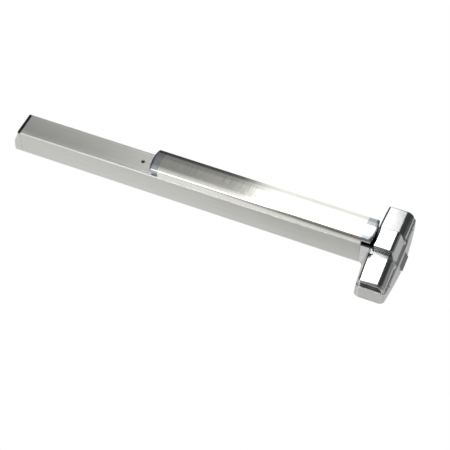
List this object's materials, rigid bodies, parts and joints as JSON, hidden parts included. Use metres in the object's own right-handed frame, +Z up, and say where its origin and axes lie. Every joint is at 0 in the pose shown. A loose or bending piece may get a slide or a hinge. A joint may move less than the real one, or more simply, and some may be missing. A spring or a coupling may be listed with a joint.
{
  "type": "panic exit bar",
  "caption": "Touch-bar panic exit bar for one door: a wide push pad in a channel case draws a latch bolt back through bell cranks and a link.",
  "frame": {"origin": "on the door face, behind the middle of the head that holds the latch", "axes": "+X along the bar towards the latch and the door edge, -Y out from the door towards the person who pushes, +Z up"},
  "size_m": [0.8646, 0.0845, 0.221],
  "materials": {
    "case_aluminium": "satin brushed along its length",
    "pad_aluminium": "bright satin",
    "pad_cap_metal": "satin cast",
    "polished_cover": "polished faces, satin skirt",
    "zinc_steel": "zinc plated pressing",
    "stainless_steel": "turned, bright",
    "spring_steel": "drawn wire",
    "black_rubber": "matt black",
    "black_plastic": "matt black"
  },
  "bodies": {
    "door_fixed": {"mechanism_case": "case_aluminium", "case_cover_plate": "case_aluminium", "end_cap": "case_aluminium", "head_cover": "polished_cover", "end_cap_bracket": "zinc_steel", "mechanism_baseplate": "zinc_steel", "crank_bracket_left": "zinc_steel", "crank_bracket_right": "zinc_steel", "spring_anchor": "zinc_steel", "dogging_bush": "zinc_steel", "head_chassis": "zinc_steel", "latch_guide": "zinc_steel", "latch_spring_seat": "zinc_steel", "end_cap_screw_upper": "stainless_steel", "end_cap_screw_lower": "stainless_steel", "crank_pivot_pin_left": "stainless_steel", "crank_pivot_pin_right": "stainless_steel", "spring_guide_rod": "stainless_steel", "cover_screw_upper_right": "stainless_steel", "cover_screw_lower_right": "stainless_steel", "cover_screw_upper_left": "stainless_steel", "cover_screw_lower_left": "stainless_steel", "main_spring": "spring_steel", "latch_spring_upper": "spring_steel", "latch_spring_lower": "spring_steel", "end_cap_strip": "black_rubber", "damper_body": "black_plastic"},
    "push_bar": {"push_pad": "pad_aluminium", "pad_end_cap_left": "pad_cap_metal", "pad_end_cap_right": "pad_cap_metal", "pad_bracket_left": "zinc_steel", "pad_bracket_right": "zinc_steel", "pad_pin_left": "stainless_steel", "pad_pin_right": "stainless_steel", "damper_rod": "stainless_steel"},
    "crank_left": {"bell_crank_left": "zinc_steel"},
    "crank_right": {"bell_crank_right": "zinc_steel"},
    "link": {"link_bar": "zinc_steel", "link_pin_left": "stainless_steel", "link_pin_right": "stainless_steel", "dogging_catch_pin": "stainless_steel"},
    "latch": {"latch_bolt": "stainless_steel", "latch_drive_pin": "stainless_steel"},
    "dogging": {"dogging_hook": "zinc_steel"}
  },
  "joints": [
    {"name": "bar_push", "type": "slide", "parent": "door_fixed", "child": "push_bar", "axis": [0, -1, 0], "range_m": [0, 0.019], "stiffness_N_per_m": 900, "springref_m": 0.03},
    {"name": "left_crank_turn", "type": "hinge", "parent": "door_fixed", "child": "crank_left", "pos_m": [-0.4, -0.0426, 0], "axis": [0, 0, 1], "range_deg": [-36.92, 0]},
    {"name": "right_crank_turn", "type": "hinge", "parent": "door_fixed", "child": "crank_right", "pos_m": [-0.13, -0.0426, 0], "axis": [0, 0, 1], "range_deg": [-36.92, 0]},
    {"name": "link_draw", "type": "slide", "parent": "door_fixed", "child": "link", "axis": [1, 0, 0], "range_m": [0, 0.019], "deforming": ["main_spring"]},
    {"name": "latch_throw", "type": "slide", "parent": "door_fixed", "child": "latch", "axis": [1, 0, 0], "range_m": [0, 0.019], "deforming": ["latch_spring_upper", "latch_spring_lower"]},
    {"name": "dogging_turn", "type": "hinge", "parent": "door_fixed", "child": "dogging", "pos_m": [-0.531, -0.03, 0], "axis": [0, -1, 0], "range_deg": [0, 90]}
  ],
  "couplings": [
    {"joint": "left_crank_turn", "follows": "bar_push", "rad_per_m": -33.895},
    {"joint": "right_crank_turn", "follows": "bar_push", "rad_per_m": -33.895},
    {"joint": "link_draw", "follows": "bar_push", "ratio": 1},
    {"joint": "latch_throw", "follows": "bar_push", "ratio": 1}
  ]
}
